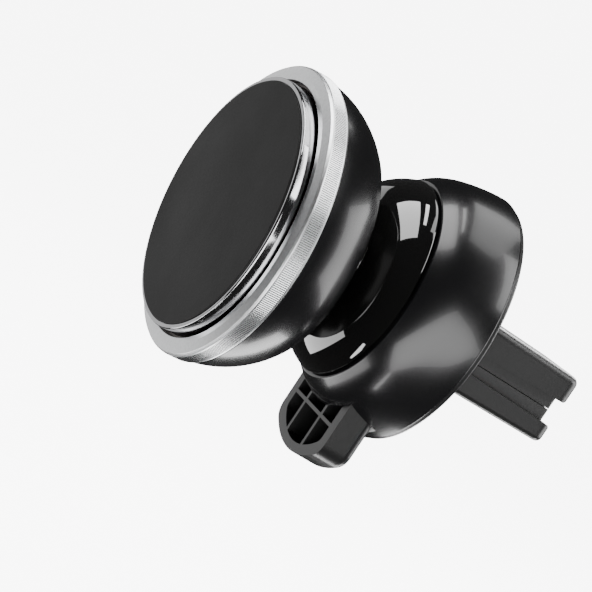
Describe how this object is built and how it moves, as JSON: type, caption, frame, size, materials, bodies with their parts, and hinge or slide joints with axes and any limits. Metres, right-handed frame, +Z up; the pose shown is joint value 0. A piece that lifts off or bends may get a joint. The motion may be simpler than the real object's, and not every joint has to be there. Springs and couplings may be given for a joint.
{
  "type": "magnetic car vent phone mount",
  "caption": "Round magnetic phone mount on a ball joint, with a dished base and a padded vent clip opened by a push button under the base.",
  "frame": {"origin": "middle of the clip's slot, on the slot plane, at the base's rear face", "axes": "+Z up with the release button underneath; the magnetic head faces -Y and the vent clip points to +Y"},
  "size_m": [0.0445, 0.0637, 0.0477],
  "materials": {
    "pad_rubber": "matte",
    "polished_metal": "mirror polished",
    "bezel_metal": "turned with a fine knurl",
    "gloss_shell": "high gloss",
    "carrier_plastic": "moulded",
    "magnet_nickel": "nickel plated",
    "zinc_steel": "zinc plated",
    "ball_steel": "polished",
    "liner_plastic": "self-lubricating",
    "spring_steel": "drawn wire",
    "satin_shell": "fine satin",
    "jaw_rubber": "matte",
    "collar_metal": "mirror gloss black"
  },
  "bodies": {
    "base": {"base_body": "gloss_shell", "collar_ring": "collar_metal", "socket_cup": "carrier_plastic", "seat_spring": "spring_steel", "socket_ring": "zinc_steel", "rear_plate": "satin_shell", "clip_chassis": "satin_shell", "upper_jaw_pad": "jaw_rubber", "pivot_pin": "zinc_steel", "chassis_screws": "zinc_steel", "jaw_springs": "spring_steel"},
    "liner": {"ball_liner": "liner_plastic"},
    "stud": {"ball_stud": "ball_steel", "spin_washer": "liner_plastic", "stud_retainer": "spring_steel"},
    "head": {"front_pad": "pad_rubber", "magnet_cap": "polished_metal", "bezel_ring": "bezel_metal", "head_housing": "gloss_shell", "magnet_carrier": "carrier_plastic", "magnets": "magnet_nickel", "yoke_plate": "zinc_steel", "head_screws": "zinc_steel"},
    "jaw": {"lower_jaw": "satin_shell", "lower_jaw_pad": "jaw_rubber"},
    "button": {"release_button": "satin_shell"}
  },
  "joints": [
    {"name": "head_pan", "type": "hinge", "parent": "base", "child": "liner", "pos_m": [0, -0.01034, 0.0019], "axis": [0, 0, 1], "range_deg": [-22.4, 13.6]},
    {"name": "head_tilt", "type": "hinge", "parent": "liner", "child": "stud", "pos_m": [0, -0.01034, 0.0019], "axis": [0.9971, 0.0767, 0], "range_deg": [-22, 14]},
    {"name": "head_spin", "type": "hinge", "parent": "stud", "child": "head", "pos_m": [0, -0.01034, 0.0019], "axis": [0.0765, -0.9946, -0.0698], "continuous": true},
    {"name": "jaw_open", "type": "hinge", "parent": "base", "child": "jaw", "pos_m": [0, -0.0026, -0.00885], "axis": [-1, 0, 0], "range_deg": [0, 18], "stiffness_Nm_per_rad": 0.12, "springref_deg": -34.38, "deforming": ["jaw_springs"]},
    {"name": "button_push", "type": "slide", "parent": "base", "child": "button", "axis": [0, 0, 1], "range_m": [0, 0.00145]}
  ],
  "couplings": [
    {"joint": "button_push", "follows": "jaw_open", "m_per_rad": 0.0046142}
  ]
}
